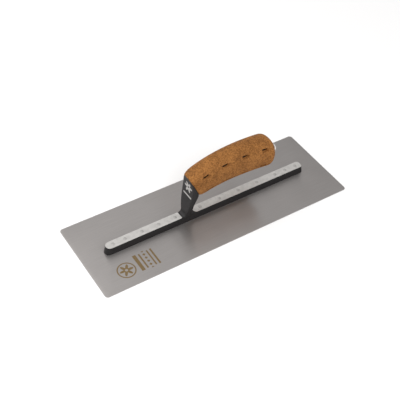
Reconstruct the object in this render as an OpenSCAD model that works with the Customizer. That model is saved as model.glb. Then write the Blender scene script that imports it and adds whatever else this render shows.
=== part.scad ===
// Steel finishing trowel: a thin blade riveted under a cast mounting, and a
// cork grip on a moulded core, drawn against the mounting by a rod and cap nut.
//
// Millimetres. The origin is the centre of the blade's underside, +X points to
// the heel, where the grip ends, and +Z points up from the blade.

/* [Blade] */
// Length of the blade
blade_l = 356; // [330:1:410]
// Width of the blade
blade_w = 121; // [100:1:140]
// Thickness of the blade
blade_t = 0.7; // [0.6:0.1:1.2]
// Radius of the blade's corners
blade_corner_r = 4; // [1:0.5:6]

/* [Mounting bar] */
// Length of the bar on the blade
bar_l = 296.2; // [294:0.1:300]
// Length of the bar at its milled top
bar_top_l = 292.2; // [290:0.1:296]
// How far the bar's middle lies behind the blade's middle
bar_shift = 0.1; // [-1:0.1:1]
// Width of the bar at its milled top
bar_top_w = 11.4; // [11:0.1:13]
// Width of the bar on the blade
bar_base_w = 12.4; // [12:0.1:14]
// Height of the bar above the blade
bar_h = 10.5; // [9:0.5:12]
// Corner radius of the bar's heel end
bar_heel_r = 4; // [2:0.5:5]

/* [Rivets] */
// Diameter of a rivet's body
rivet_d = 4.6; // [3:0.1:5]
// Diameter of a rivet's countersunk head, ground flush under the blade
rivet_head_d = 6.2; // [5:0.1:7]
// Place of the first rivet along X
rivet_toe_x = -136.5; // [-138:0.5:-135]
// Place of the last rivet along X
rivet_heel_x = 137.5; // [136:0.5:139]
// Pitch of the close rivets at both ends
end_pitch = 16.5; // [15:0.5:18]
// Pitch of the other rivets in front of the shank
front_pitch = 23.5; // [22:0.5:24]
// Pitch of the other rivets behind the shank
rear_pitch = 29.25; // [28:0.25:29.5]

/* [Shank] */
// Front face of the shank where it meets the bar
shank_front_x = -37.2; // [-38:0.1:-36]
// Rear face of the shank where it meets the bar
shank_rear_x = -27.5; // [-28:0.1:-26]
// Half width of the shank at its foot
shank_foot_w = 5.4; // [5:0.1:5.7]
// Radius of the fillets between the shank and the bar
foot_fillet_r = 4.8; // [3:0.1:5]

/* [Grip] */
// Front end of the grip's centre line along X
grip_x = -27.4; // [-28:0.1:-27]
// Front end of the grip's centre line above the blade's underside
grip_z = 56.8; // [56:0.1:58]
// How steeply the grip rises from the shank
grip_rise = 26; // [25:0.5:28]
// Rear end of the grip's centre line along X, before the end is rounded
grip_rear_x = 76.6; // [75:0.1:78]
// Rear end of the grip's centre line above the blade's underside
grip_rear_z = 67.4; // [66:0.1:68]
// How steeply the grip falls at its rear end
grip_fall = 6; // [4:0.5:8]
// Half width of the grip at its front, middle and rear
grip_half_w = [13.8, 16.8, 20.4]; // [12:0.1:22]
// Half height of the grip at its front, middle and rear
grip_half_h = [21.1, 21.9, 19.3]; // [18:0.1:23]
// How far the grip draws in at its front edge
grip_front_in = 2.7; // [1:0.1:3]
// How far back the front edge's rounding reaches, as a share of the grip
grip_front_share = 0.1; // [0.05:0.01:0.15]
// Rounding of the grip's rear edge
grip_end_r = 9.2; // [6:0.1:10]
// Thickness of the cork over the core
cork_wall = 5.5; // [5:0.5:6]

/* [Slots] */
// Length of a slot through the cork
slot_l = 8.5; // [7:0.5:10]
// Width of a slot through the cork
slot_w = 1.8; // [1.5:0.1:2.5]

/* [Rod and nut] */
// Diameter of the rod
rod_d = 8; // [6:0.5:8]
// Clearance round the rod in the core
rod_clear = 0.2; // [0.1:0.1:0.3]
// Width of the cap nut across its flats
nut_flats = 14; // [13:0.5:16]
// Height of the cap nut's hexagon
nut_hex_h = 4.6; // [4:0.1:6]
// Diameter of the washer
washer_d = 17; // [16:0.5:20]
// Thickness of the washer
washer_t = 1.4; // [1:0.1:2]

/* [Hidden] */

eps = 0.01;
round_fn = 64;             // facets of a round shape in the preview
oval_fn = 40;              // points round a section of the grip and the shank
grip_rings = 22;           // sections along the grip, closer at its front
shank_rings = 18;          // sections up the shank
end_rings = 5;             // sections round the grip's rear edge
oval_power = 2.25;         // 2 is an ellipse, and more is squarer
foot_power = 7;            // the shank's foot is nearly a rectangle

bar_top = blade_t + bar_h;
front_rivet_x = [rivet_toe_x, for (i = [0:3]) rivet_toe_x + end_pitch + i*front_pitch];
rear_rivet_x = [for (i = [0:2]) rivet_heel_x - i*end_pitch,
                for (i = [1:4]) rivet_heel_x - 2*end_pitch - i*rear_pitch];

// The grip's centre line, a Bezier curve in the XZ plane
grip_front_pull = 39.7;
grip_rear_pull = 18.3;
grip_line = [[grip_x, grip_z],
             [grip_x, grip_z] + grip_front_pull*[cos(grip_rise), sin(grip_rise)],
             [grip_rear_x, grip_rear_z] + grip_rear_pull*[-cos(grip_fall), sin(grip_fall)],
             [grip_rear_x, grip_rear_z]];

// The shank's front and rear faces on the XZ plane, from inside the bar to the
// front end of the grip
seat_dir = [-sin(grip_rise), cos(grip_rise)];
seat_h = grip_half_h[0] - grip_front_in;
seat_top = grip_line[0] + seat_h*seat_dir;
seat_bottom = grip_line[0] - seat_h*seat_dir;
shank_root_z = bar_top - 3;
shank_front = [[shank_front_x, shank_root_z], [-37.6, 33], [-28, 53], seat_top];
shank_mid_w = 12;          // half width of the shank halfway up
shank_rear = [[shank_rear_x, shank_root_z], [-30.8, 31], [-30, 38.5], seat_bottom];

// The rod runs straight from the shank to the rear of the grip
rod_rise = 3.2;
tenon_l = 9;               // the shank's tongue in the core
tenon_size = [9, 15];      // width and height of the tongue
rod_in_shank = 3;          // thread in the shank behind the seat
rod_in_nut = 6.5;          // thread in the cap nut
nut_bore = 7.5;            // depth of the cap nut's blind hole
nut_r = nut_flats/2;
washer_at = 111.8;         // the washer's seat, along the rod from the grip's front
nut_at = washer_at + washer_t;

// Slots: places along the centre line, and each row's angles from the section's top
slot_place = [0.14, 0.345, 0.575, 0.86];
slot_rows = [[44, 43, 43, 45], [128, 127, 124, 112]];

function bezier(p, t) =
    pow(1 - t, 3)*p[0] + 3*t*pow(1 - t, 2)*p[1] + 3*t*t*(1 - t)*p[2] + pow(t, 3)*p[3];

function bezier_dir(p, t) =
    let (d = pow(1 - t, 2)*(p[1] - p[0]) + 2*t*(1 - t)*(p[2] - p[1]) + t*t*(p[3] - p[2]))
    d/norm(d);

// A value that passes through three given ones, at the start, middle and end
function through(v, t) =
    v[0]*(1 - t)*(1 - 2*t) + 4*v[1]*t*(1 - t) + v[2]*t*(2*t - 1);

// Points of a superellipse of half height 1 (first) and half width 1 (second)
function oval(power) =
    [for (i = [0:oval_fn - 1]) let (c = cos(360*i/oval_fn), s = sin(360*i/oval_fn))
        [sign(c)*pow(abs(c), 2/power), sign(s)*pow(abs(s), 2/power)]];

// A section centred at c, half_h high along up (XZ directions), half_w wide along Y
function section(c, up, half_h, half_w, power) =
    [for (p = oval(power))
        [c[0] + up[0]*half_h*p[0], half_w*p[1], c[1] + up[1]*half_h*p[0]]];

// A section of the grip at t along its centre line, smaller all round by inset
function grip_section(t, inset) =
    let (d = bezier_dir(grip_line, t))
    section(bezier(grip_line, t), [-d[1], d[0]],
            through(grip_half_h, t) - inset, through(grip_half_w, t) - inset, oval_power);

// How far the grip's front edge is drawn in at t along its centre line
function front_ease(t) =
    let (left = max(0, 1 - t/grip_front_share)) grip_front_in*(1 - sqrt(1 - left*left));

// Sections along the grip, closer together at its front
function grip_places() = [for (k = [0:grip_rings]) pow(k/grip_rings, 1.5)];

// The middle of a section
function middle(ring) = [for (axis = [0:2]) let (v = [for (p = ring) p[axis]]) (min(v) + max(v))/2];

// The closed solid through a list of sections, its flat ends fanned from their middles
module skin(rings) {
    n = len(rings[0]);
    last = (len(rings) - 1)*n;
    start_mid = last + n;
    end_mid = start_mid + 1;
    points = [for (ring = rings) for (p = ring) p];
    polyhedron(
        points = concat(points, [middle(rings[0]), middle(rings[len(rings) - 1])]),
        faces = [
            for (i = [0:n - 1]) [start_mid, (i + 1)%n, i],
            for (k = [0:len(rings) - 2]) for (i = [0:n - 1]) let (j = (i + 1)%n)
                each [[k*n + i, k*n + j, (k + 1)*n + i],
                      [k*n + j, (k + 1)*n + j, (k + 1)*n + i]],
            for (i = [0:n - 1]) [end_mid, last + i, last + (i + 1)%n]],
        convexity = 4);
}

// Puts children on the rod's axis, with +Z along the rod, from the grip's front
module on_rod(along = 0) {
    translate([grip_x, 0, grip_z]) rotate([0, 90 - rod_rise, 0]) translate([0, 0, along])
        children();
}

// Puts children at a slot's place: +X along the grip, +Z outwards
module at_slot(t, angle, side) {
    c = bezier(grip_line, t);
    d = bezier_dir(grip_line, t);
    translate([c[0], 0, c[1]]) rotate([0, -atan2(d[1], d[0]), 0]) rotate([-side*angle, 0, 0])
        children();
}

module rounded_plate(l, w, t, r) {
    linear_extrude(t) union() {
        square([l - 2*r, w], center = true);
        square([l, w - 2*r], center = true);
        for (x = [-1, 1]) for (y = [-1, 1])
            translate([x*(l/2 - r), y*(w/2 - r)]) circle(r, $fn = round_fn);
    }
}

// A rivet standing on the underside of the blade, flush with it and the bar
module rivet(x, grow = 0) {
    translate([x, 0, -grow]) cylinder(d = rivet_d, h = bar_top + 2*grow, $fn = round_fn);
    translate([x, 0, 0]) cylinder(d1 = rivet_head_d, d2 = rivet_d, h = blade_t, $fn = round_fn);
}

module blade() {
    color("silver") difference() {
        rounded_plate(blade_l, blade_w, blade_t, blade_corner_r);
        for (x = concat(front_rivet_x, rear_rivet_x)) rivet(x, eps);
    }
}

// The bar's plan: a full-round toe and a heel with rounded corners
module bar_plan() {
    l = bar_l/2;
    w = bar_base_w;
    translate([w/2 - l, 0]) circle(w/2, $fn = round_fn);
    translate([w/2 - l, -w/2]) square([2*l - w/2 - bar_heel_r, w]);
    translate([l - 2*bar_heel_r, bar_heel_r - w/2])
        square([2*bar_heel_r, w - 2*bar_heel_r]);
    for (y = [-1, 1])
        translate([l - bar_heel_r, y*(w/2 - bar_heel_r)])
            circle(bar_heel_r, $fn = round_fn);
}

module bar() {
    translate([bar_shift, 0, blade_t])
        linear_extrude(bar_h, scale = [bar_top_l/bar_l, bar_top_w/bar_base_w]) bar_plan();
}

// A concave fillet along Y between the bar's top and a face at x; side is -1 or 1
module foot_fillet(x, side) {
    r = foot_fillet_r;
    translate([x, 0, bar_top]) rotate([90, 0, 0])
        linear_extrude(2*shank_foot_w, center = true) difference() {
            translate([side > 0 ? -1.5 : -r, -1]) square([r + 1.5, r + 1]);
            translate([side*r, r]) circle(r, $fn = round_fn);
        }
}

module shank() {
    skin([for (k = [0:shank_rings])
        let (t = k/shank_rings, f = bezier(shank_front, t), b = bezier(shank_rear, t))
        section((f + b)/2, (f - b)/norm(f - b), norm(f - b)/2,
                through([shank_foot_w, shank_mid_w, grip_half_w[0] - grip_front_in], t),
                oval_power + (foot_power - oval_power)*(1 - pow(t, 4)))]);
}

module tenon() {
    translate([grip_x, 0, grip_z]) rotate([0, 90 - grip_rise, 0])
        translate([-tenon_size[1]/2, -tenon_size[0]/2, -3])
            cube([tenon_size[1], tenon_size[0], tenon_l + 3]);
}

module mounting() {
    color([0.17, 0.16, 0.16]) difference() {
        union() {
            bar();
            shank();
            foot_fillet(shank_front_x, -1);
            foot_fillet(shank_rear_x, 1);
            tenon();
        }
        for (x = concat(front_rivet_x, rear_rivet_x)) rivet(x, eps);
        on_rod(-rod_in_shank)
            cylinder(d = rod_d, h = rod_in_shank + 2*tenon_l, $fn = round_fn);
    }
}

module front_rivets() {
    color("lightgray") for (x = front_rivet_x) rivet(x);
}

module rear_rivets() {
    color("lightgray") for (x = rear_rivet_x) rivet(x);
}

module handle_rod() {
    color("gray") on_rod(-rod_in_shank)
        cylinder(d = rod_d, h = rod_in_shank + nut_at + rod_in_nut, $fn = round_fn);
}

// The outside of the core, which is also the inside of the cork. A lead makes it
// start that far in front of the grip, so that it cuts clean through the front.
module core_shape(lead = 0) {
    rings = [for (t = grip_places()) grip_section(t, cork_wall)];
    step = lead*[cos(grip_rise), 0, sin(grip_rise)];
    skin(lead > 0 ? concat([[for (p = rings[0]) p - step]], rings) : rings);
}

module handle_core() {
    color([0.1, 0.1, 0.1]) difference() {
        core_shape();
        tenon();
        on_rod(-10) cylinder(d = rod_d + 2*rod_clear, h = 150, $fn = round_fn);
    }
}

module cork_grip() {
    end_dir = [cos(grip_fall), -sin(grip_fall)];
    color([0.67, 0.48, 0.31]) difference() {
        skin(concat(
            [for (t = grip_places()) grip_section(t, front_ease(t))],
            [for (k = [1:end_rings]) let (a = 90*k/end_rings, in = grip_end_r*(1 - cos(a)))
                section(grip_line[3] + grip_end_r*sin(a)*end_dir, [sin(grip_fall), cos(grip_fall)],
                        grip_half_h[2] - in, grip_half_w[2] - in, oval_power)]));
        core_shape(lead = 2);
        on_rod(60) cylinder(d = rod_d + 2*rod_clear, h = 80, $fn = round_fn);
        on_rod(washer_at) cylinder(d = washer_d + 1, h = 20, $fn = round_fn);
        for (row = slot_rows) for (i = [0:len(row) - 1]) for (side = [-1, 1])
            at_slot(slot_place[i], row[i], side)
                translate([-slot_l/2, -slot_w/2, 5]) cube([slot_l, slot_w, 30]);
    }
}

module rear_washer() {
    color("silver") on_rod(washer_at) difference() {
        cylinder(d = washer_d, h = washer_t, $fn = round_fn);
        translate([0, 0, -1])
            cylinder(d = rod_d + 2*rod_clear, h = washer_t + 2, $fn = round_fn);
    }
}

module cap_nut() {
    color("silver") on_rod(nut_at) difference() {
        union() {
            cylinder(d = nut_flats/cos(30), h = nut_hex_h, $fn = 6);
            translate([0, 0, nut_hex_h]) sphere(nut_r, $fn = round_fn);
        }
        translate([0, 0, -10]) cylinder(r = 2*nut_r, h = 10, $fn = round_fn);
        translate([0, 0, -1]) cylinder(d = rod_d, h = nut_bore + 1, $fn = round_fn);
    }
}

blade();
mounting();
front_rivets();
rear_rivets();
handle_rod();
handle_core();
cork_grip();
rear_washer();
cap_nut();
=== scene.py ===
"""Looks of a steel finishing trowel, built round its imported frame.

The sizes in the classes are millimetres in the trowel's own frame: the origin is
the centre of the blade's underside, +X points to the heel and +Z up. MM turns
them into the scene's metres.
"""

import logging
import math
from collections.abc import Callable, Iterable
from dataclasses import dataclass, field
from enum import Enum

import bmesh
import bpy
from mathutils import Matrix, Vector


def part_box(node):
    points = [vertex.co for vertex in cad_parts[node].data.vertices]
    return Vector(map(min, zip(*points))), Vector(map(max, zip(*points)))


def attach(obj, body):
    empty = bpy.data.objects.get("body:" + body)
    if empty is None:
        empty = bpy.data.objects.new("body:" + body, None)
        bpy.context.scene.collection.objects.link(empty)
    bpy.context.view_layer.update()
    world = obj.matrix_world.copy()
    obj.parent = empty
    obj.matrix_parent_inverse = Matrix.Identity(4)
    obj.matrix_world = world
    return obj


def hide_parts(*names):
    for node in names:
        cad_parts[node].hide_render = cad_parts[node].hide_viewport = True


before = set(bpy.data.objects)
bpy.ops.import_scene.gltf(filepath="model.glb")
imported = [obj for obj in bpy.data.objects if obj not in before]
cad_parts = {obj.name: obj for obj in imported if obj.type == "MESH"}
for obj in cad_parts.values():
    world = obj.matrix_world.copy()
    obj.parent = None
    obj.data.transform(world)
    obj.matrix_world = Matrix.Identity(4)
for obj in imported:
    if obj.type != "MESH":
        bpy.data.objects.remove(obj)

log = logging.getLogger("trowel")

MM = 0.001
BODY = "root"


class Boolean(Enum):
    """How one mesh is worked into another."""

    JOIN = "UNION"
    CUT = "DIFFERENCE"
    COMMON = "INTERSECT"


class Slot(Enum):
    """The record's material slots."""

    BLADE = "blade_steel"
    CASTING = "black_casting"
    RIVET = "rivet_steel"
    ZINC = "zinc_steel"
    CORE = "core_plastic"
    CORK = "cork"
    BRIGHT = "nickel"


# ---------------------------------------------------------------- shader tools


class Wire:
    """A value socket that takes part in Python expressions.

    Args:
        graph: The graph that the socket's node is in.
        socket: The output socket.
    """

    def __init__(self, graph: "Graph", socket: bpy.types.NodeSocket) -> None:
        """Keeps the socket and the graph it belongs to."""
        self.graph = graph
        self.socket = socket

    def math(self, operation: str, *others: "Wire | float", swap: bool = False) -> "Wire":
        """Adds one Math node.

        Args:
            operation: The Math node's operation.
            others: What goes into its other sockets.
            swap: Puts this value second.

        Returns:
            The node's result.
        """
        values = [*others, self] if swap else [self, *others]
        return self.graph.node("ShaderNodeMath", {"operation": operation}, dict(enumerate(values)))

    def __add__(self, other: "Wire | float") -> "Wire":
        """This plus other."""
        return self.math("ADD", other)

    def __radd__(self, other: float) -> "Wire":
        """Other plus this."""
        return self.math("ADD", other, swap=True)

    def __sub__(self, other: "Wire | float") -> "Wire":
        """This less other."""
        return self.math("SUBTRACT", other)

    def __rsub__(self, other: float) -> "Wire":
        """Other less this."""
        return self.math("SUBTRACT", other, swap=True)

    def __mul__(self, other: "Wire | float") -> "Wire":
        """This times other."""
        return self.math("MULTIPLY", other)

    def __rmul__(self, other: float) -> "Wire":
        """Other times this."""
        return self.math("MULTIPLY", other, swap=True)

    def __truediv__(self, other: "Wire | float") -> "Wire":
        """This over other."""
        return self.math("DIVIDE", other)

    def __lt__(self, other: "Wire | float") -> "Wire":
        """1 where this is under other."""
        return self.math("LESS_THAN", other)

    def __gt__(self, other: "Wire | float") -> "Wire":
        """1 where this is over other."""
        return self.math("GREATER_THAN", other)

    def __abs__(self) -> "Wire":
        """The size of this, without its sign."""
        return self.math("ABSOLUTE")

    def either(self, other: "Wire | float") -> "Wire":
        """The larger of the two."""
        return self.math("MAXIMUM", other)

    def ramp(self, low: float, high: float) -> "Wire":
        """A smooth step from 0 at low to 1 at high."""
        return self.graph.node(
            "ShaderNodeMapRange",
            {"interpolation_type": "SMOOTHSTEP"},
            {"Value": self, "From Min": low, "From Max": high},
        )


class Graph:
    """A material's nodes, built round one Principled shader.

    Args:
        name: The material's name.
    """

    def __init__(self, name: str) -> None:
        """Makes the material and reads the object's own coordinates, in millimetres."""
        self.material = bpy.data.materials.new(name)
        self.material.use_nodes = True
        self.tree = self.material.node_tree
        self.shader = self.tree.nodes["Principled BSDF"]
        place = self.tree.nodes.new("ShaderNodeTexCoord").outputs["Object"]
        self.place = self.node(
            "ShaderNodeVectorMath", {"operation": "SCALE"}, {0: place, "Scale": 1 / MM}
        )
        self.x, self.y, self.z = (self.split(self.place, axis) for axis in "XYZ")

    def put(self, socket: bpy.types.NodeSocket, value: object) -> None:
        """Feeds a socket.

        Args:
            socket: The input socket.
            value: A wire, a socket, a colour, a vector or a number.
        """
        if isinstance(value, Wire):
            self.tree.links.new(value.socket, socket)
        elif isinstance(value, bpy.types.NodeSocket):
            self.tree.links.new(value, socket)
        else:
            socket.default_value = value

    def node(
        self,
        kind: str,
        settings: dict | None = None,
        inputs: dict | None = None,
        out: int | str = 0,
    ) -> Wire:
        """Adds a node.

        Args:
            kind: The node's type.
            settings: Its properties, which are set first.
            inputs: What goes into its sockets, by name or number.
            out: The output that is wanted.

        Returns:
            That output.
        """
        made = self.tree.nodes.new(kind)
        for key, value in (settings or {}).items():
            if key == "stops":
                self.set_stops(made, value)
            else:
                setattr(made, key, value)
        for key, value in (inputs or {}).items():
            self.put(made.inputs[key], value)
        return Wire(self, made.outputs[out])

    @staticmethod
    def set_stops(ramp: bpy.types.Node, stops: Iterable[tuple]) -> None:
        """Gives a colour ramp its stops.

        Args:
            ramp: The Color Ramp node.
            stops: Pairs of a place and a colour.
        """
        bar = ramp.color_ramp.elements
        for index, (place, colour) in enumerate(stops):
            stop = bar[index] if index < 2 else bar.new(place)
            stop.position = place
            stop.color = colour

    def split(self, vector: Wire, axis: str) -> Wire:
        """One axis of a vector."""
        return self.node("ShaderNodeSeparateXYZ", None, {0: vector}, axis)

    def stretch(self, scale: tuple[float, float, float]) -> Wire:
        """The place in millimetres, scaled by axis."""
        inputs = {0: self.place, 1: scale}
        return self.node("ShaderNodeVectorMath", {"operation": "MULTIPLY"}, inputs)

    def noise(self, per_mm: float, detail: float = 2.0, at: Wire | None = None) -> Wire:
        """Perlin noise with a number of features a millimetre, from 0 to 1."""
        inputs = {"Vector": at or self.place, "Scale": per_mm, "Detail": detail}
        return self.node("ShaderNodeTexNoise", None, inputs)

    def cells(self, per_mm: float, out: str, feature: str = "F1") -> Wire:
        """A Voronoi pattern with a number of cells a millimetre."""
        inputs = {"Vector": self.place, "Scale": per_mm}
        return self.node("ShaderNodeTexVoronoi", {"feature": feature}, inputs, out)

    def blend(self, share: "Wire | float", first: object, second: object) -> Wire:
        """A colour between first, at 0, and second, at 1."""
        made = self.tree.nodes.new("ShaderNodeMix")
        made.data_type = "RGBA"
        for index, value in ((0, share), (6, first), (7, second)):
            self.put(made.inputs[index], value)
        return Wire(self, made.outputs[2])

    def relief(self, height: Wire, depth_mm: float, below: Wire | None = None) -> Wire:
        """A normal for a height of 0 to 1 that stands depth_mm high."""
        inputs = {"Height": height, "Distance": depth_mm * MM, "Strength": 1.0}
        if below is not None:
            inputs["Normal"] = below
        return self.node("ShaderNodeBump", None, inputs)

    def finish(self, **sockets: object) -> bpy.types.Material:
        """Feeds the shader's sockets by name, with _ for a space, and returns the material."""
        for name, value in sockets.items():
            self.put(self.shader.inputs[name.replace("_", " ")], value)
        return self.material


def paint(red: int, green: int, blue: int) -> tuple[float, float, float, float]:
    """A linear colour from its screen values.

    Args:
        red: Red, 0 to 255.
        green: Green, 0 to 255.
        blue: Blue, 0 to 255.

    Returns:
        The colour, opaque.
    """
    linear = [((v / 255 + 0.055) / 1.055) ** 2.4 for v in (red, green, blue)]
    return (*linear, 1.0)


# -------------------------------------------------------------------- finishes


@dataclass(frozen=True)
class GroundSteel:
    """The blade: cross-ground spring steel with a generic etched mark."""

    tint: tuple = paint(184, 180, 178)
    shade: tuple = paint(173, 169, 167)
    etch: tuple = paint(132, 110, 72)
    groove: float = 0.012
    smear: float = 1.0
    badge: tuple[float, float] = (-138.0, -36.0)
    badge_r: float = 11.0
    rows_y: float = -33.5
    rows: tuple = (
        (-120.0, 4.6, 13.0),
        (-113.8, 2.2, 12.0),
        (-102.6, 2.0, 12.5),
        (-97.6, 2.4, 13.0),
    )
    dots_x: float = -108.2

    def rosette(self, g: Graph) -> Wire:
        """A plain six-petal rosette, 1 inside."""
        dx, dy = g.x - self.badge[0], g.y - self.badge[1]
        turn = dy.math("ARCTAN2", dx)
        far = (dx * dx + dy * dy).math("SQRT")
        petals = (turn * 6.0).math("COSINE") * 0.3 + 0.7
        ring = (abs(far - self.badge_r) - 0.8).ramp(0.25, -0.25)
        flower = (far - petals * (0.82 * self.badge_r)).ramp(0.3, -0.3)
        heart = (far - 1.8).ramp(-0.2, 0.2)
        return ring.either(flower * heart)

    def rules(self, g: Graph) -> Wire:
        """Plain bars and a row of dots across the blade, 1 inside."""
        from_middle = g.y - self.rows_y
        mask = None
        for x, width, half in self.rows:
            across = (abs(g.x - x) - width / 2).ramp(0.2, -0.2)
            bar = across * (abs(from_middle) - half).ramp(0.2, -0.2)
            mask = bar if mask is None else mask.either(bar)
        step = 5.6
        cell = ((from_middle / step).math("FRACT") - 0.5) * step
        dx = g.x - self.dots_x
        dots = (abs(cell) + abs(dx) - 2.1).ramp(0.2, -0.2)
        return mask.either(dots * (abs(from_middle) - 2.5 * step).ramp(0.2, -0.2))

    def make(self) -> bpy.types.Material:
        """The material."""
        g = Graph("ground_steel")
        lines = g.noise(1.0, 2.0, g.stretch((0.06, 5.0, 0.06)))
        grind = g.noise(1.0, 2.0, g.stretch((0.03, 1.1, 0.03)))
        cloud = g.noise(0.014, 2.0)
        speck = g.noise(1.6, 1.0)
        on_top = (g.z - 0.6).ramp(0.0, 0.05)
        worn = g.noise(2.2, 2.0).ramp(0.3, 0.5)
        mark = self.rosette(g).either(self.rules(g)) * on_top * (0.7 + 0.3 * worn)
        tone = g.blend(
            (grind * 0.45 + cloud * 0.4 + speck * 0.15).ramp(0.3, 0.7), self.shade, self.tint
        )
        return g.finish(
            Base_Color=g.blend(mark, tone, self.etch),
            Metallic=0.92 - 0.4 * mark,
            Roughness=0.26 + 0.05 * grind + 0.02 * cloud + 0.2 * mark,
            Anisotropic=self.smear,
            Normal=g.relief(lines, self.groove),
        )


@dataclass(frozen=True)
class BlackCoat:
    """The casting's semi-matt black coat, with a light generic badge on the shank."""

    coat: tuple = paint(20, 17, 19)
    worn: tuple = paint(16, 14, 15)
    light: tuple = paint(186, 184, 182)
    badge: tuple[float, float] = (-1.0, 56.5)
    badge_r: float = 8.0
    rule_z: float = 43.5
    rule_half: float = 8.5

    def emblem(self, g: Graph) -> Wire:
        """A six-petal rosette over a rule on the shank's front face, 1 inside."""
        dy, dz = g.y - self.badge[0], g.z - self.badge[1]
        turn = dz.math("ARCTAN2", dy)
        far = (dy * dy + dz * dz).math("SQRT")
        petals = (turn * 6.0).math("COSINE") * 0.26 + 0.74
        flower = (far - petals * self.badge_r).ramp(0.25, -0.25) * (far - 1.5).ramp(-0.2, 0.2)
        rule = (abs(g.z - self.rule_z) - 1.0).ramp(0.2, -0.2)
        rule = rule * (abs(g.y - self.badge[0]) - self.rule_half).ramp(0.2, -0.2)
        return flower.either(rule)

    def make(self) -> bpy.types.Material:
        """The material."""
        g = Graph("black_coat")
        grain = g.noise(2.4, 3.0)
        patch = g.noise(0.09, 2.0)
        facing = g.node("ShaderNodeNewGeometry", None, None, "Normal")
        front = (g.split(facing, "X") * -1.0).ramp(0.35, 0.5)
        mark = self.emblem(g) * front * (g.z - 20.0).ramp(0.0, 1.0)
        tone = g.blend(patch.ramp(0.35, 0.65), self.worn, self.coat)
        return g.finish(
            Base_Color=g.blend(mark, tone, self.light),
            Metallic=0.6 * mark,
            Roughness=0.5 + 0.12 * grain - 0.08 * mark,
            Normal=g.relief(grain, 0.035),
            Specular_IOR_Level=0.45,
        )


@dataclass(frozen=True)
class MilledTop:
    """The bar's bright top, with the arcs that a wide cutter leaves."""

    tint: tuple = paint(222, 220, 217)
    shade: tuple = paint(206, 204, 201)
    cutter_r: float = 9.0
    feed: float = 0.9

    def make(self) -> bpy.types.Material:
        """The material."""
        g = Graph("milled_top")
        sweep = (self.cutter_r**2 - g.y * g.y).either(0.01).math("SQRT")
        arcs = ((g.x + sweep) * (2 * math.pi / self.feed)).math("SINE") * 0.5 + 0.5
        cloud = g.noise(0.22, 3.0)
        fine = g.noise(3.0, 2.0)
        tone = g.blend((cloud * 0.7 + fine * 0.3).ramp(0.3, 0.7), self.shade, self.tint)
        return g.finish(
            Base_Color=tone,
            Metallic=1.0,
            Roughness=0.48 + 0.1 * cloud,
            Normal=g.relief(arcs * 0.6 + fine * 0.4, 0.003),
        )


@dataclass(frozen=True)
class Cork:
    """Moulded cork composite: fine granules in a binder, rubbed smooth."""

    light: tuple = paint(167, 113, 59)
    mid: tuple = paint(114, 72, 33)
    dark: tuple = paint(62, 37, 18)

    def make(self) -> bpy.types.Material:
        """The material."""
        g = Graph("cork")
        coarse = g.split(g.cells(0.85, "Color"), "X")
        fine = g.split(g.cells(1.9, "Color"), "Y")
        seam = g.cells(0.85, "Distance", "DISTANCE_TO_EDGE").ramp(0.0, 0.16)
        cloud = g.noise(0.07, 3.0)
        pores = g.noise(1.5, 3.0).ramp(0.3, 0.42)
        share = coarse * 0.3 + fine * 0.2 + cloud * 0.5
        tone = g.blend(share.ramp(0.28, 0.72), self.mid, self.light)
        tone = g.blend(0.16 - 0.16 * seam, tone, self.dark)
        tone = g.blend(0.22 - 0.22 * pores, tone, self.dark)
        height = coarse * 0.3 + fine * 0.2 + seam * 0.3 + pores * 0.2
        return g.finish(
            Base_Color=tone,
            Roughness=0.72 + 0.14 * fine - 0.06 * cloud,
            Normal=g.relief(height, 0.14),
            Specular_IOR_Level=0.2,
        )


@dataclass(frozen=True)
class PlainMetal:
    """A turned or plated metal, with fine marks."""

    name: str
    tint: tuple
    roughness: float
    marks: float

    def make(self) -> bpy.types.Material:
        """The material."""
        g = Graph(self.name)
        fine = g.noise(2.6, 3.0)
        cloud = g.noise(0.3, 2.0)
        duller = tuple(c * 0.9 for c in self.tint[:3]) + (1.0,)
        return g.finish(
            Base_Color=g.blend(cloud.ramp(0.3, 0.7), duller, self.tint),
            Metallic=1.0,
            Roughness=self.roughness + 0.08 * fine,
            Normal=g.relief(fine, self.marks),
        )


@dataclass(frozen=True)
class CoreMoulding:
    """The core's matt black plastic."""

    tint: tuple = paint(24, 23, 23)

    def make(self) -> bpy.types.Material:
        """The material."""
        g = Graph("core_moulding")
        grain = g.noise(1.8, 3.0)
        return g.finish(
            Base_Color=g.blend(grain, paint(16, 15, 15), self.tint),
            Roughness=0.6 + 0.15 * grain,
            Normal=g.relief(grain, 0.03),
        )


# ------------------------------------------------------------------ mesh tools


def deselect() -> None:
    """Leaves edit mode and selects nothing."""
    if bpy.context.object and bpy.context.object.mode == "EDIT":
        bpy.ops.object.mode_set(mode="OBJECT")
    bpy.ops.object.select_all(action="DESELECT")


def take(obj: bpy.types.Object) -> None:
    """Makes obj the only selected object."""
    deselect()
    obj.select_set(True)
    bpy.context.view_layer.objects.active = obj


def edit_select(obj: bpy.types.Object, mode: str, wanted: Callable) -> bmesh.types.BMesh:
    """Goes into edit mode on obj and selects what is wanted.

    Args:
        obj: The object.
        mode: VERT, EDGE or FACE.
        wanted: Says whether an element is selected.

    Returns:
        The mesh being edited.
    """
    if bpy.context.object is not obj or obj.mode != "EDIT":
        take(obj)
        bpy.ops.object.mode_set(mode="EDIT")
    bpy.ops.mesh.select_mode(type=mode)
    bpy.ops.mesh.select_all(action="DESELECT")
    mesh = bmesh.from_edit_mesh(obj.data)
    items = {"VERT": mesh.verts, "EDGE": mesh.edges, "FACE": mesh.faces}[mode]
    for item in items:
        item.select_set(bool(wanted(item)))
    mesh.select_flush_mode()
    bmesh.update_edit_mesh(obj.data)
    return mesh


def leave_edit() -> None:
    """Goes back to object mode."""
    bpy.ops.object.mode_set(mode="OBJECT")


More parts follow.
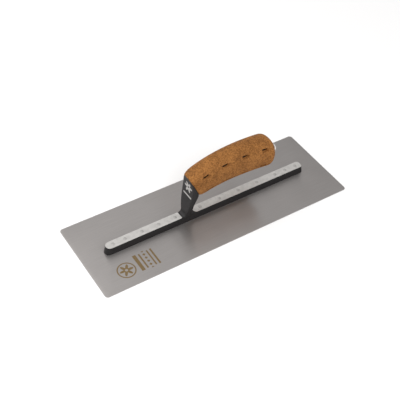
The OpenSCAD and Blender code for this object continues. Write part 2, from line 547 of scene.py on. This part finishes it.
def new_piece(name: str) -> bpy.types.Object:
    """Names the primitive that was just added and puts its place in its mesh."""
    obj = bpy.context.object
    obj.name = name
    obj.data.name = name
    bpy.ops.object.transform_apply(location=True, rotation=True, scale=True)
    return obj


def block(name: str, low: Vector, high: Vector) -> bpy.types.Object:
    """A box from its low and high corners, in millimetres."""
    deselect()
    middle = (Vector(low) + Vector(high)) / 2 * MM
    bpy.ops.mesh.primitive_cube_add(size=1, location=middle)
    bpy.context.object.scale = (Vector(high) - Vector(low)) * MM
    return new_piece(name)


def rod(name: str, radius: float, low: float, high: float, sides: int = 64) -> bpy.types.Object:
    """A cylinder on the Z axis, in millimetres."""
    deselect()
    bpy.ops.mesh.primitive_cylinder_add(
        vertices=sides,
        radius=radius * MM,
        depth=(high - low) * MM,
        location=(0, 0, (low + high) / 2 * MM),
    )
    return new_piece(name)


def move_to(obj: bpy.types.Object, matrix: Matrix) -> bpy.types.Object:
    """Places obj by a matrix in metres and puts its place in its mesh."""
    take(obj)
    obj.matrix_world = matrix
    bpy.ops.object.transform_apply(location=True, rotation=True, scale=True)
    return obj


def apply_modifier(obj: bpy.types.Object, kind: str, **settings: object) -> None:
    """Adds a modifier with its settings and applies it.

    Args:
        obj: The object.
        kind: The modifier's type.
        settings: Its properties.
    """
    take(obj)
    modifier = obj.modifiers.new(kind.lower(), kind)
    for key, value in settings.items():
        setattr(modifier, key, value)
    bpy.ops.object.modifier_apply(modifier=modifier.name)


def work(target: bpy.types.Object, tool: bpy.types.Object, how: Boolean) -> None:
    """Joins, cuts or intersects target with tool, and takes the tool away."""
    apply_modifier(
        target,
        "BOOLEAN",
        object=tool,
        operation=how.value,
        solver="EXACT",
        material_mode="TRANSFER",
    )
    bpy.data.objects.remove(tool, do_unlink=True)


def together(objects: list[bpy.types.Object]) -> bpy.types.Object:
    """Joins objects into the first one."""
    take(objects[0])
    for obj in objects[1:]:
        obj.select_set(True)
    bpy.ops.object.join()
    return objects[0]


def outward(obj: bpy.types.Object) -> None:
    """Merges doubled points and turns every face outwards."""
    edit_select(obj, "FACE", lambda face: True)
    bpy.ops.mesh.remove_doubles(threshold=0.002 * MM)
    bpy.ops.mesh.select_all(action="SELECT")
    bpy.ops.mesh.normals_make_consistent(inside=False)
    leave_edit()


def smooth(obj: bpy.types.Object, degrees: float) -> None:
    """Shades obj smooth where faces meet under that angle."""
    take(obj)
    bpy.ops.object.shade_smooth_by_angle(angle=math.radians(degrees))


def dress(obj: bpy.types.Object, *materials: bpy.types.Material) -> None:
    """Gives obj these materials in place of its own."""
    obj.data.materials.clear()
    for material in materials:
        obj.data.materials.append(material)


def hand_over(obj: bpy.types.Object, slot: Slot, *nodes: str) -> None:
    """Fixes a finished piece to the trowel in place of its CAD nodes."""
    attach(obj, BODY)
    if nodes:
        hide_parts(*nodes)
    log.info("%s: %d faces, stands for %s", obj.name, len(obj.data.polygons), ", ".join(nodes))


def bent(value: float, power: float) -> float:
    """The value raised to a power, with its sign kept."""
    return math.copysign(abs(value) ** power, value)


@dataclass(frozen=True)
class Section:
    """A superellipse across a sweep: half_h along up in the XZ plane, half_w along Y."""

    middle: Vector
    up: Vector
    half_h: float
    half_w: float
    power: float

    def undo(self, place: Vector) -> tuple[float, float]:
        """The cosine and sine that a point of this section came from."""
        along = (place / MM - self.middle).dot(self.up) / self.half_h
        return bent(along, self.power / 2), bent(place.y / MM / self.half_w, self.power / 2)

    def put(self, cosine: float, sine: float) -> Vector:
        """The point of this section for a cosine and sine, in metres."""
        along = bent(cosine, 2 / self.power) * self.half_h
        across = bent(sine, 2 / self.power) * self.half_w
        return (self.middle + self.up * along + Vector((0, across, 0))) * MM


def sweep(name: str, sections: list[Section], sides: int) -> bpy.types.Object:
    """Extrudes a filled circle from section to section.

    Args:
        name: The piece's name.
        sections: The sections in order.
        sides: Points round each one.

    Returns:
        The closed piece.
    """
    deselect()
    bpy.ops.mesh.primitive_circle_add(vertices=sides, radius=1, fill_type="NGON")
    obj = new_piece(name)
    mesh = edit_select(obj, "FACE", lambda face: True)
    for vert in mesh.verts:
        vert.co = sections[0].put(vert.co.x, vert.co.y)
    for before, after in zip(sections, sections[1:]):
        bpy.ops.mesh.extrude_region_move()
        mesh = bmesh.from_edit_mesh(obj.data)
        for vert in mesh.verts:
            if vert.select:
                vert.co = after.put(*before.undo(vert.co))
    bmesh.update_edit_mesh(obj.data)
    leave_edit()
    outward(obj)
    return obj


@dataclass(frozen=True)
class Curve:
    """A cubic Bezier curve in the XZ plane, in millimetres."""

    points: tuple[Vector, Vector, Vector, Vector]

    def at(self, t: float) -> Vector:
        """The point at t, from 0 to 1."""
        a, b, c, d = self.points
        s = 1 - t
        return a * s**3 + b * (3 * t * s * s) + c * (3 * t * t * s) + d * t**3

    def along(self, t: float) -> Vector:
        """The unit direction at t."""
        a, b, c, d = self.points
        s = 1 - t
        return ((b - a) * (s * s) + (c - b) * (2 * t * s) + (d - c) * (t * t)).normalized()


def flat(x: float, z: float) -> Vector:
    """A point or direction in the XZ plane."""
    return Vector((x, 0, z))


def slope(degrees: float) -> Vector:
    """The direction that rises at an angle from +X."""
    return flat(math.cos(math.radians(degrees)), math.sin(math.radians(degrees)))


def through(values: tuple[float, float, float], t: float) -> float:
    """A value that passes through three given ones, at 0, a half and 1."""
    a, b, c = values
    return a * (1 - t) * (1 - 2 * t) + 4 * b * t * (1 - t) + c * t * (2 * t - 1)


# ---------------------------------------------------------------- sub-assemblies


@dataclass
class Grip:
    """The cork grip, moulded over the core, with its row of slots on each side."""

    front: Vector = field(default_factory=lambda: flat(-27.4, 56.8))
    rear: Vector = field(default_factory=lambda: flat(76.6, 67.4))
    rise: float = 26.0
    fall: float = -6.0
    front_pull: float = 39.7
    rear_pull: float = 18.3
    half_w: tuple = (13.8, 16.8, 20.4)
    half_h: tuple = (21.1, 21.9, 19.3)
    front_in: float = 2.7
    front_share: float = 0.1
    end_r: float = 9.2
    power: float = 2.25
    cork_wall: float = 5.45
    sides: int = 112
    rings: int = 110
    end_rings: int = 12
    slot_places: tuple = (0.14, 0.345, 0.575, 0.86)
    slot_rows: tuple = ((44.0, 43.0, 43.0, 45.0), (128.0, 127.0, 124.0, 112.0))
    slot: tuple = (8.1, 1.7)
    tab: tuple = (9.8, 3.3, 1.6)
    tab_tilt: float = 6.0

    @property
    def line(self) -> Curve:
        """The centre line."""
        return Curve(
            (
                self.front,
                self.front + slope(self.rise) * self.front_pull,
                self.rear - slope(self.fall) * self.rear_pull,
                self.rear,
            )
        )

    def section(self, t: float, inset: float = 0.0, ahead: float = 0.0) -> Section:
        """The section at t, smaller all round by inset and moved ahead along the line."""
        along = self.line.along(t)
        return Section(
            self.line.at(t) + along * ahead,
            flat(-along.z, along.x),
            through(self.half_h, t) - inset,
            through(self.half_w, t) - inset,
            self.power,
        )

    def ease(self, t: float) -> float:
        """How far the grip's front edge is drawn in at t."""
        left = max(0.0, 1 - t / self.front_share)
        return self.front_in * (1 - math.sqrt(1 - left * left))

    def seat(self) -> Section:
        """The section where the grip meets the shank."""
        return self.section(0.0, self.ease(0.0))

    def place_at(self, t: float, angle: float, side: int) -> Matrix:
        """The place of a slot: +X along the grip and +Z out of it, in metres."""
        middle, along = self.line.at(t), self.line.along(t)
        turn = Matrix.Rotation(-math.atan2(along.z, along.x), 4, "Y")
        lean = Matrix.Rotation(math.radians(-side * angle), 4, "X")
        return Matrix.Translation(middle * MM) @ turn @ lean

    def reach(self, t: float, angle: float) -> float:
        """How far the surface is from the centre line at an angle from the top."""
        c, s = math.cos(math.radians(angle)), math.sin(math.radians(angle))
        at = self.section(t)
        spread = (abs(c) / at.half_h) ** self.power + (abs(s) / at.half_w) ** self.power
        return spread ** (-1 / self.power)

    def cutters(self, deep: bool) -> bpy.types.Object:
        """The slots' tools: the narrow through cuts, or the shallow tabs beside them."""
        tools = []
        for row in self.slot_rows:
            for t, angle in zip(self.slot_places, row):
                for side in (-1, 1):
                    out = self.reach(t, angle)
                    place = self.place_at(t, angle, side)
                    if deep:
                        half = Vector((self.slot[0] / 2, self.slot[1] / 2, 0))
                        tool = block("slot", flat(0, out - 9) - half, flat(0, out + 3) + half)
                    else:
                        long, wide, depth = self.tab
                        low = Vector((-long * 0.45, 0 if side > 0 else -wide, out - depth))
                        high = Vector((long * 0.55, wide if side > 0 else 0, out + 3))
                        tool = block("tab", low, high)
                        hinge = flat(-long * 0.45, out) * MM
                        tilt = Matrix.Rotation(math.radians(self.tab_tilt), 4, "Y")
                        place = place @ Matrix.Translation(hinge) @ tilt
                        place = place @ Matrix.Translation(-hinge)
                    apply_modifier(tool, "BEVEL", width=0.35 * MM, segments=2)
                    tools.append(move_to(tool, place))
        return together(tools)

    def build(self, cork: bpy.types.Material, rear_cut: list[bpy.types.Object]) -> None:
        """Makes the grip.

        Args:
            cork: Its finish.
            rear_cut: Tools that open its rear for the rod and the washer.
        """
        places = [(k / self.rings) ** 1.3 for k in range(self.rings + 1)]
        sections = [self.section(t, self.ease(t)) for t in places]
        for k in range(1, self.end_rings + 1):
            turn = math.radians(90 * k / self.end_rings)
            inset = self.end_r * (1 - math.cos(turn))
            sections.append(self.section(1.0, inset, self.end_r * math.sin(turn)))
        grip = sweep("cork_grip_skin", sections, self.sides)
        inside = [self.section(0.0, self.cork_wall, -2.0)]
        inside += [self.section(k / 40, self.cork_wall) for k in range(1, 41)]
        work(grip, self.cutters(deep=False), Boolean.CUT)
        work(grip, sweep("inside", inside, 64), Boolean.CUT)
        work(grip, self.cutters(deep=True), Boolean.CUT)
        for tool in rear_cut:
            work(grip, tool, Boolean.CUT)
        dress(grip, cork)
        outward(grip)
        smooth(grip, 35)
        hand_over(grip, Slot.CORK, "cork_grip")


@dataclass
class Casting:
    """The mounting: the bar, the shank that rises from it, and the milled top."""

    top: float
    toe: float
    heel: float
    base: float
    as_cast: float = 0.15
    top_l: float = 292.2
    base_w: float = 12.4
    top_w: float = 11.4
    toe_r: float = 6.1
    heel_r: float = 4.0
    shank_front_x: float = -37.2
    shank_rear_x: float = -27.5
    foot_w: float = 5.4
    waist_w: float = 12.0
    foot_power: float = 7.0
    fillet: float = 4.8
    sides: int = 96
    rings: int = 120
    front_mill_x: float = -42.0
    rear_mill_x: float = -23.4
    mill_corner_r: float = 4.6
    front_pulls: tuple = ((-37.6, 33.0), (-28.0, 53.0))
    rear_pulls: tuple = ((-30.8, 31.0), (-30.0, 38.5))
    ramp: float = 1.6
    rivet_r: float = 2.33

    def bar(self) -> bpy.types.Object:
        """The bar as cast: a block with round ends, drafted sides and soft edges."""
        half = self.base_w / 2
        bar = block(
            "mounting_casting",
            Vector((self.toe, -half, self.base)),
            Vector((self.heel, half, self.top + self.as_cast)),
        )
        for x, radius in ((self.toe, self.toe_r), (self.heel, self.heel_r)):

            def upright(edge: bmesh.types.BMEdge, x: float = x) -> bool:
                """Whether an edge is one of the end's upright corners."""
                a, b = (v.co for v in edge.verts)
                return abs(a.x - x * MM) < MM and (a - b).xy.length < 0.01 * MM

            edit_select(bar, "EDGE", upright)
            bpy.ops.mesh.bevel(offset=radius * MM, segments=14, profile=0.5, affect="EDGES")
        high = (self.top + self.as_cast - 0.1) * MM
        edit_select(bar, "VERT", lambda vert: vert.co.z > high)
        bpy.ops.transform.resize(
            value=(self.top_l / (self.heel - self.toe), self.top_w / self.base_w, 1),
            center_override=((self.toe + self.heel) / 2 * MM, 0, 0),
        )
        edit_select(
            bar,
            "EDGE",
            lambda edge: all(v.co.z > high for v in edge.verts) and len(edge.link_faces) == 2,
        )
        bpy.ops.mesh.bevel(offset=0.35 * MM, segments=3, affect="EDGES")
        leave_edit()
        return bar

    def flare(self, z: float) -> float:
        """How far the foot's fillet stands out of the shank at a height."""
        up = min(max(z - self.top, 0.0), self.fillet)
        drop = self.fillet - up
        return self.fillet - math.sqrt(max(self.fillet**2 - drop**2, 0.0))

    def shank(self, seat: Section) -> bpy.types.Object:
        """The shank, from a flat foot in the bar to the oval seat of the grip."""
        root = self.top - 3
        front = Curve(
            (
                flat(self.shank_front_x, root),
                *(flat(x, z) for x, z in self.front_pulls),
                seat.middle + seat.up * seat.half_h,
            )
        )
        rear = Curve(
            (
                flat(self.shank_rear_x, root),
                *(flat(x, z) for x, z in self.rear_pulls),
                seat.middle - seat.up * seat.half_h,
            )
        )
        sections = []
        for k in range(self.rings + 1):
            t = k / self.rings
            ahead, behind = front.at(t), rear.at(t)
            ahead = ahead - flat(self.flare(ahead.z), 0)
            behind = behind + flat(self.flare(behind.z), 0)
            sections.append(
                Section(
                    (ahead + behind) / 2,
                    (ahead - behind).normalized(),
                    (ahead - behind).length / 2,
                    through((self.foot_w, self.waist_w, seat.half_w), t),
                    seat.power + (self.foot_power - seat.power) * (1 - t**4),
                )
            )
        return sweep("shank", sections, self.sides)

    def mills(self) -> list[bpy.types.Object]:
        """The cutters that leave the bright top before and behind the shank."""
        wide = self.base_w
        front = block(
            "mill",
            Vector((self.toe - 5, -wide, self.top)),
            Vector((self.front_mill_x, wide, self.top + self.as_cast + 0.01)),
        )
        low = (self.top + 0.05) * MM
        past = (self.front_mill_x - 1) * MM
        edit_select(front, "VERT", lambda v: v.co.z < low and v.co.x > past)
        bpy.ops.transform.translate(value=(-self.ramp * MM, 0, 0))
        leave_edit()
        round_r = self.top_w / 2 + 0.35
        rear = block(
            "mill",
            Vector((self.rear_mill_x, -round_r, self.top)),
            Vector((self.heel + 5, round_r, self.top + 9)),
        )

        def corner(edge: bmesh.types.BMEdge) -> bool:
            """Whether an edge is one of the tool's front corners."""
            a, b = (v.co for v in edge.verts)
            return abs(a.x - self.rear_mill_x * MM) < MM and (a - b).xy.length < 0.01 * MM

        edit_select(rear, "EDGE", corner)
        bpy.ops.mesh.bevel(offset=self.mill_corner_r * MM, segments=16, affect="EDGES")
        leave_edit()
        return [front, rear]

    def build(
        self,
        seat: Section,
        rivets: list[float],
        coat: bpy.types.Material,
        milled: bpy.types.Material,
    ) -> None:
        """Makes the casting.

        Args:
            seat: The grip's front section.
            rivets: The rivets' places along X.
            coat: The black coat.
            milled: The bright milled finish.
        """
        casting = self.bar()
        dress(casting, coat, milled)
        shank = self.shank(seat)
        dress(shank, coat)
        work(casting, shank, Boolean.JOIN)
        for tool in self.mills():
            dress(tool, milled)
            work(casting, tool, Boolean.CUT)
        holes = []
        for x in rivets:
            hole = rod("hole", self.rivet_r, self.base - 1, self.top + 1, 32)
            holes.append(move_to(hole, Matrix.Translation(flat(x, 0) * MM)))
        tool = together(holes)
        dress(tool, coat)
        work(casting, tool, Boolean.CUT)
        outward(casting)
        smooth(casting, 28)
        hand_over(casting, Slot.CASTING, "mounting")


@dataclass
class Blade:
    """The thin plate under the bar, with its countersunk rivet holes."""

    low: Vector
    high: Vector
    corner_r: float = 4.0
    edge: float = 0.08
    hole_r: float = 2.33
    head_r: float = 3.12

    def hole(self, x: float) -> bpy.types.Object:
        """The tool for a countersunk hole at x."""
        deselect()
        bpy.ops.mesh.primitive_cone_add(
            vertices=40,
            radius1=self.head_r * MM,
            radius2=self.hole_r * MM,
            depth=(self.high.z - self.low.z) * MM,
            location=((self.low + self.high) / 2 * MM).to_tuple(),
        )
        bpy.context.object.location.x, bpy.context.object.location.y = x * MM, 0
        tool = new_piece("hole")
        edit_select(tool, "FACE", lambda face: abs(face.normal.z) > 0.9)
        bpy.ops.transform.resize(value=(1, 1, 1.02))
        leave_edit()
        return tool

    def build(self, rivets: list[float], steel: bpy.types.Material) -> None:
        """Makes the blade.

        Args:
            rivets: The rivets' places along X.
            steel: Its finish.
        """
        blade = block("blade_plate", self.low, self.high)
        upright = (self.high.z - self.low.z) * 0.9 * MM
        edit_select(
            blade,
            "EDGE",
            lambda edge: abs(edge.verts[0].co.z - edge.verts[1].co.z) > upright,
        )
        bpy.ops.mesh.bevel(offset=self.corner_r * MM, segments=12, affect="EDGES")
        edit_select(
            blade,
            "EDGE",
            lambda edge: abs(edge.verts[0].co.z - edge.verts[1].co.z) < upright,
        )
        bpy.ops.mesh.bevel(offset=self.edge * MM, segments=2, affect="EDGES")
        leave_edit()
        work(blade, together([self.hole(x) for x in rivets]), Boolean.CUT)
        dress(blade, steel)
        outward(blade)
        smooth(blade, 30)
        blade.data.use_auto_texspace = False
        blade.data.texspace_location = (-10, 0, 0)
        blade.data.texspace_size = (1, 1, 1)
        hand_over(blade, Slot.BLADE, "blade")


@dataclass
class Rivets:
    """The rivets that hold the blade, milled flush with the bar."""

    top: float
    blade_t: float
    radius: float = 2.3
    head_r: float = 3.1
    chamfer: float = 0.06

    def one(self) -> bpy.types.Object:
        """A rivet at the origin: a shank, a chamfered top and a countersunk head."""
        rivet = rod("rivet", self.radius, self.blade_t, self.top + 0.02, 40)
        high = (self.top - 0.1) * MM
        edit_select(rivet, "EDGE", lambda edge: all(v.co.z > high for v in edge.verts))
        bpy.ops.mesh.bevel(offset=self.chamfer * MM, segments=2, affect="EDGES")
        edit_select(rivet, "FACE", lambda face: face.normal.z < -0.9)
        down = {"value": (0, 0, -self.blade_t * MM)}
        bpy.ops.mesh.extrude_region_move(TRANSFORM_OT_translate=down)
        grow = self.head_r / self.radius
        bpy.ops.transform.resize(value=(grow, grow, 1), center_override=(0, 0, 0))
        leave_edit()
        outward(rivet)
        smooth(rivet, 30)
        return rivet

    def build(self, node: str, places: list[float], steel: bpy.types.Material) -> None:
        """Makes a row of rivets that stands for one CAD node.

        Args:
            node: The CAD node.
            places: Their places along X.
            steel: Their finish.
        """
        for count, x in enumerate(places, 1):
            rivet = self.one()
            rivet.name = f"{node.rstrip('s')}_{count}"
            dress(rivet, steel)
            move_to(rivet, Matrix.Translation(flat(x, 0) * MM))
            hand_over(rivet, Slot.RIVET, node)


@dataclass
class RearNut:
    """The washer and the domed cap nut that hold the grip on its rod."""

    front: Vector
    rise: float = 3.2
    washer_at: float = 111.8
    washer_r: float = 8.5
    washer_t: float = 1.4
    hole_r: float = 4.2
    flats: float = 14.0
    hex_h: float = 4.6

    def on_rod(self, along: float = 0.0) -> Matrix:
        """The rod's axis, with +Z towards the rear, in metres."""
        turn = Matrix.Rotation(math.radians(90 - self.rise), 4, "Y")
        return Matrix.Translation(self.front * MM) @ turn @ Matrix.Translation((0, 0, along * MM))

    def tools(self) -> list[bpy.types.Object]:
        """What opens the rear of the grip: the rod's hole and the washer's seat."""
        hole = move_to(rod("hole", self.hole_r, 60, 140), self.on_rod())
        seat = move_to(rod("seat", self.washer_r + 0.5, self.washer_at, 140), self.on_rod())
        return [hole, seat]

    def washer(self, zinc: bpy.types.Material) -> None:
        """Makes the flat washer."""
        washer = rod("rear_washer_plate", self.washer_r, 0, self.washer_t, 72)
        work(washer, rod("hole", self.hole_r, -1, self.washer_t + 1, 48), Boolean.CUT)
        apply_modifier(washer, "BEVEL", width=0.2 * MM, segments=2, angle_limit=math.radians(40))
        outward(washer)
        smooth(washer, 30)
        dress(washer, zinc)
        move_to(washer, self.on_rod(self.washer_at))
        hand_over(washer, Slot.ZINC, "rear_washer")

    def nut(self, bright: bpy.types.Material) -> None:
        """Makes the cap nut: a chamfered hexagon with a dome turned on it."""
        radius = self.flats / 2
        corner = radius / math.cos(math.radians(30))
        nut = rod("cap_nut_dome", corner, 0, self.hex_h, 6)
        turned = rod("turned", corner, 0, self.hex_h, 72)
        edit_select(
            turned,
            "EDGE",
            lambda edge: abs(edge.verts[0].co.z - edge.verts[1].co.z) < 0.1 * MM,
        )
        bpy.ops.mesh.bevel(offset=0.75 * MM, segments=1, affect="EDGES")
        leave_edit()
        work(nut, turned, Boolean.COMMON)
        deselect()
        bpy.ops.mesh.primitive_uv_sphere_add(
            segments=72,
            ring_count=48,
            radius=radius * MM * 0.985,
            location=(0, 0, self.hex_h * MM),
        )
        dome = new_piece("dome")
        work(dome, rod("trim", 2 * radius, -2 * radius, self.hex_h - 0.6), Boolean.CUT)
        work(nut, dome, Boolean.JOIN)
        work(nut, rod("bore", 4.0, -1, 7.5, 48), Boolean.CUT)
        apply_modifier(nut, "BEVEL", width=0.15 * MM, segments=2, angle_limit=math.radians(35))
        outward(nut)
        smooth(nut, 30)
        dress(nut, bright)
        move_to(nut, self.on_rod(self.washer_at + self.washer_t))
        hand_over(nut, Slot.BRIGHT, "cap_nut")


@dataclass
class Studio:
    """The pale floor, the soft light and the camera."""

    eye: Vector = field(default_factory=lambda: Vector((-437.255, -585.085, 757.797)))
    forward: Vector = field(default_factory=lambda: Vector((0.41158, 0.56779, -0.71289)))
    right: Vector = field(default_factory=lambda: Vector((0.83852, -0.54235, 0.05215)))
    lens: float = 74.6
    sky_range: dict = field(
        default_factory=lambda: {
            "From Min": 0.15,
            "From Max": 0.65,
            "To Min": 0.85,
            "To Max": 0.52,
        }
    )

    def camera(self) -> None:
        """Makes the camera."""
        data = bpy.data.cameras.new("camera")
        data.lens = self.lens
        data.sensor_width = 36
        data.clip_start, data.clip_end = 0.05, 20
        camera = bpy.data.objects.new("camera", data)
        bpy.context.scene.collection.objects.link(camera)
        back = -self.forward.normalized()
        up = back.cross(self.right).normalized()
        right = up.cross(back).normalized()
        camera.matrix_world = Matrix.Translation(self.eye * MM) @ (
            Matrix((right, up, back)).transposed().to_4x4()
        )
        bpy.context.scene.camera = camera

    def floor(self) -> None:
        """Makes the floor."""
        deselect()
        bpy.ops.mesh.primitive_plane_add(size=12)
        floor = new_piece("floor")
        data = bpy.data.materials.new("pale_floor")
        data.use_nodes = True
        shader = data.node_tree.nodes["Principled BSDF"]
        shader.inputs["Base Color"].default_value = (0.93, 0.93, 0.93, 1)
        shader.inputs["Roughness"].default_value = 0.9
        shader.inputs["Specular IOR Level"].default_value = 0.1
        dress(floor, data)

    def panel(self, place: tuple, aim: tuple, size: tuple, watts: float) -> None:
        """Adds a soft light.

        Args:
            place: Where it stands, in metres.
            aim: What it points at, in metres.
            size: Its width and height, in metres.
            watts: Its power.
        """
        data = bpy.data.lights.new("panel", "AREA")
        data.shape = "RECTANGLE"
        data.size, data.size_y = size
        data.energy = watts
        light = bpy.data.objects.new("panel", data)
        bpy.context.scene.collection.objects.link(light)
        light.location = place
        light.rotation_euler = (Vector(aim) - Vector(place)).to_track_quat("-Z", "Y").to_euler()

    def sky(self, tree: bpy.types.NodeTree) -> None:
        """Makes an even soft light that is a little brighter on the toe's side."""
        place = tree.nodes.new("ShaderNodeTexCoord").outputs["Generated"]
        split = tree.nodes.new("ShaderNodeSeparateXYZ")
        spread = tree.nodes.new("ShaderNodeMapRange")
        spread.interpolation_type = "SMOOTHSTEP"
        for key, value in self.sky_range.items():
            spread.inputs[key].default_value = value
        tree.links.new(place, split.inputs[0])
        tree.links.new(split.outputs["X"], spread.inputs["Value"])
        tree.links.new(spread.outputs[0], tree.nodes["Background"].inputs["Strength"])
        tree.nodes["Background"].inputs["Color"].default_value = (1, 0.99, 0.985, 1)

    def build(self) -> None:
        """Makes the floor, the lights and the camera."""
        self.camera()
        self.floor()
        world = bpy.data.worlds.new("studio")
        bpy.context.scene.world = world
        world.use_nodes = True
        self.sky(world.node_tree)
        self.panel((-1.2, 0.6, 1.6), (0, 0, 0), (1.4, 1.4), 18)
        self.panel((-0.3, -1.4, 1.5), (0, 0, 0), (1.2, 0.8), 10)
        bpy.context.scene.view_settings.view_transform = "Standard"


# ------------------------------------------------------------------------ main


def rivet_places(node: str, head_r: float, close: float, count: int, front: bool) -> list[float]:
    """The rivets' places along X, from the CAD node's box.

    Args:
        node: The CAD node.
        head_r: A rivet head's radius, in millimetres.
        close: The pitch of the close rivets at the bar's end.
        count: How many rivets there are.
        front: Whether the close rivets are at the front.

    Returns:
        Their places in millimetres.
    """
    low, high = (corner.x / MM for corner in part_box(node))
    first, last = low + head_r, high - head_r
    if front:
        step = (last - first - close) / (count - 2)
        return [first] + [first + close + i * step for i in range(count - 1)]
    step = (last - first - 2 * close) / (count - 3)
    return [first + i * step for i in range(count - 2)] + [last - close, last]


def main() -> None:
    """Builds the trowel and its studio."""
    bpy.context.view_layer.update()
    Studio().build()
    steel = PlainMetal("rivet_steel", paint(200, 198, 195), 0.46, 0.004).make()
    zinc = PlainMetal("zinc_plate", paint(190, 190, 190), 0.3, 0.004).make()
    bright = PlainMetal("bright_plate", paint(232, 229, 226), 0.14, 0.001).make()
    low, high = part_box("mounting")
    blade_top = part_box("blade")[1].z / MM
    bar_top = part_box("front_rivets")[1].z / MM
    rivets = Rivets(top=bar_top, blade_t=blade_top)
    rows = {
        "front_rivets": rivet_places("front_rivets", rivets.head_r, 16.5, 5, front=True),
        "rear_rivets": rivet_places("rear_rivets", rivets.head_r, 16.5, 7, front=False),
    }
    grip = Grip()
    nut = RearNut(front=grip.front)
    casting = Casting(top=bar_top, toe=low.x / MM, heel=high.x / MM, base=blade_top)
    places_on_bar = [x for row in rows.values() for x in row]
    casting.build(grip.seat(), places_on_bar, BlackCoat().make(), MilledTop().make())
    for node, places in rows.items():
        rivets.build(node, places, steel)
    plate = Blade(*(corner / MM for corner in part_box("blade")))
    plate.build([x for row in rows.values() for x in row], GroundSteel().make())
    grip.build(Cork().make(), nut.tools())
    nut.washer(zinc)
    nut.nut(bright)
    kept = {
        "handle_rod": (zinc, Slot.ZINC),
        "handle_core": (CoreMoulding().make(), Slot.CORE),
    }
    for node, (material, slot) in kept.items():
        dress(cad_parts[node], material)
        log.info("%s: keeps its CAD shape", node)


if __name__ == "__main__":
    logging.basicConfig(level=logging.INFO)
    main()
